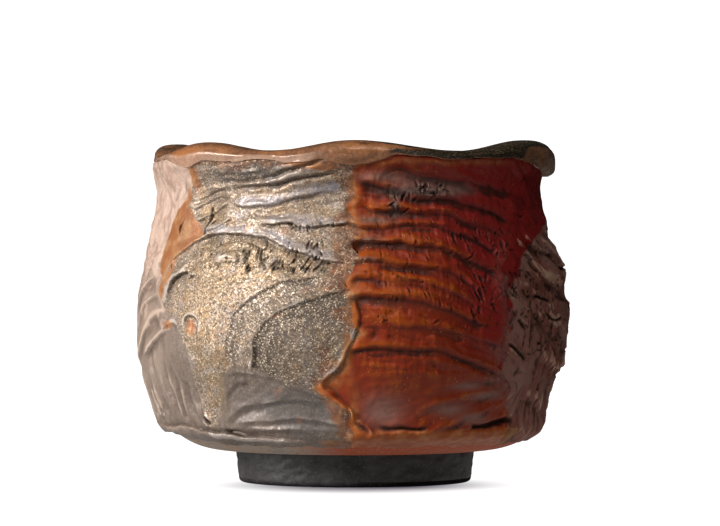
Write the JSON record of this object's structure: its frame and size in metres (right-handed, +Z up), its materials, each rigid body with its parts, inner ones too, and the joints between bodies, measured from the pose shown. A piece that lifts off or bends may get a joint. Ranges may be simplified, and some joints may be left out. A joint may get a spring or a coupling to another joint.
{
  "type": "sake cup",
  "caption": "Small handmade stoneware sake cup with trowelled slip panels round a bowl, a wavy rolled lip and a bare foot ring, glazed in silver-bronze and red-brown.",
  "frame": {"origin": "centre of the foot's ring face, on the ground", "axes": "+Z up along the cup's axis, -Y to the front, where the silver and red panels meet"},
  "size_m": [0.0707, 0.0705, 0.0549],
  "materials": {
    "clay": "fired stoneware clay",
    "foot_clay": "bare dark stoneware, matt",
    "silver_glaze": "silver-bronze metallic glaze on stroked slip, granular",
    "red_glaze": "red and amber glaze on stroked slip, satin",
    "brown_glaze": "matt dark brown glaze on cracked slip",
    "tan_glaze": "matt tan glaze on fluted slip",
    "lip_glaze": "copper-brown gloss",
    "lining_glaze": "brown gloss",
    "underside_glaze": "thin speckled brown glaze"
  },
  "bodies": {
    "root": {"clay_bowl": "clay", "foot_ring": "foot_clay", "slip_panel_front_left": "silver_glaze", "slip_panel_front_right": "red_glaze", "slip_panel_right": "brown_glaze", "slip_panel_back_right": "silver_glaze", "slip_panel_back_left": "red_glaze", "slip_panel_left": "tan_glaze", "lip_glaze": "lip_glaze", "lining_glaze": "lining_glaze", "underside_glaze": "underside_glaze"}
  },
  "joints": []
}
